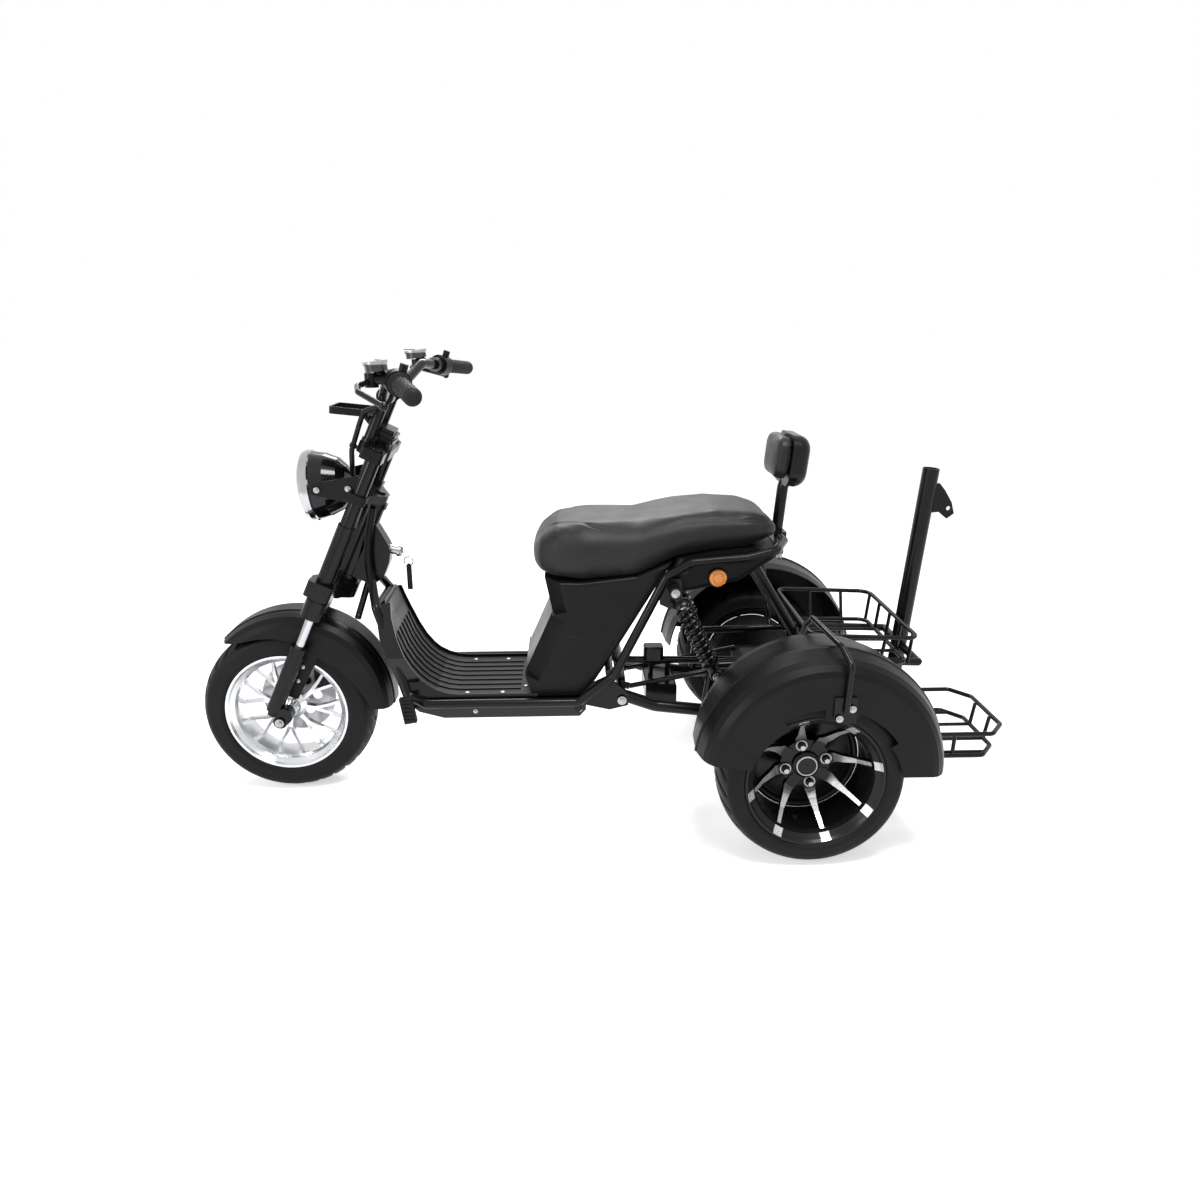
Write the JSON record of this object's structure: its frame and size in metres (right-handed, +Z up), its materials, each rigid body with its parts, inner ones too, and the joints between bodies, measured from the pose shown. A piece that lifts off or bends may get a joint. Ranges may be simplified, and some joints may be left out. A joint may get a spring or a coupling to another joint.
{
  "type": "electric golf trike",
  "caption": "Three-wheeled electric golf trike with a step-through floor, long seat with backrest, wire carriers and a golf bag post at the back.",
  "frame": {"origin": "on the ground under the middle of the vehicle's length and width", "axes": "+X forward, +Y to the vehicle's left, +Z up"},
  "size_m": [1.8795, 0.8922, 1.0042],
  "materials": {
    "amber": "gloss",
    "black_paint": "satin",
    "cast_grey": "painted",
    "chrome": "polished",
    "gloss_black": "gloss",
    "lamp_glass": "clear",
    "plastic_black": "satin",
    "red_lens": "gloss",
    "rim_black": "black with machined spoke faces",
    "rubber": "matte",
    "seat_vinyl": "grained",
    "silver_alloy": "machined",
    "steel": "brushed",
    "tyre_rubber": "matte"
  },
  "bodies": {
    "chassis": {"frame": "black_paint", "floorboard": "plastic_black", "belly_pan": "gloss_black", "footpegs": "rubber", "seat_box": "plastic_black", "tail_panel": "plastic_black", "rear_carriage": "black_paint", "axle_beam": "black_paint", "drive_motor": "cast_grey", "shocks": "black_paint", "rear_fender_left": "plastic_black", "rear_fender_right": "plastic_black", "fender_braces": "black_paint", "upper_carrier": "black_paint", "lower_rack": "black_paint", "bag_post": "black_paint", "backrest_frame": "black_paint", "backrest_pad": "seat_vinyl", "side_reflectors": "amber", "tail_lamp": "red_lens", "ignition_lock": "steel"},
    "seat": {"seat_cushion": "seat_vinyl"},
    "steering": {"steering_stem": "black_paint", "fork_tubes": "black_paint", "stanchions": "chrome", "fork_lowers": "black_paint", "front_axle": "steel", "front_fender": "plastic_black", "headlamp_bowl": "gloss_black", "headlamp_ring": "chrome", "headlamp_lens": "lamp_glass", "headlamp_bracket": "black_paint", "risers": "black_paint", "handlebar": "black_paint", "grips": "rubber", "switch_pods": "plastic_black", "brake_levers": "black_paint", "fluid_cups": "chrome", "tray": "plastic_black", "front_caliper": "cast_grey"},
    "front_wheel": {"front_tyre": "tyre_rubber", "front_rim": "silver_alloy", "front_disc": "steel"},
    "rear_left_wheel": {"rear_left_tyre": "tyre_rubber", "rear_left_rim": "rim_black"},
    "rear_right_wheel": {"rear_right_tyre": "tyre_rubber", "rear_right_rim": "rim_black"}
  },
  "joints": [
    {"name": "steering", "type": "hinge", "parent": "chassis", "child": "steering", "pos_m": [0.45742, 0, 0.79008], "axis": [-0.4258, 0, 0.9048], "range_deg": [-35, 35]},
    {"name": "front_wheel_spin", "type": "hinge", "parent": "steering", "child": "front_wheel", "pos_m": [0.74075, 0, 0.199], "axis": [0, 1, 0], "continuous": true},
    {"name": "rear_left_wheel_spin", "type": "hinge", "parent": "chassis", "child": "rear_left_wheel", "pos_m": [-0.40625, 0.345, 0.191], "axis": [0, 1, 0], "continuous": true},
    {"name": "rear_right_wheel_spin", "type": "hinge", "parent": "chassis", "child": "rear_right_wheel", "pos_m": [-0.40625, -0.345, 0.191], "axis": [0, 1, 0], "continuous": true},
    {"name": "seat_lid", "type": "hinge", "parent": "chassis", "child": "seat", "pos_m": [0.14175, 0, 0.528], "axis": [0, 1, 0], "range_deg": [0, 70]}
  ]
}
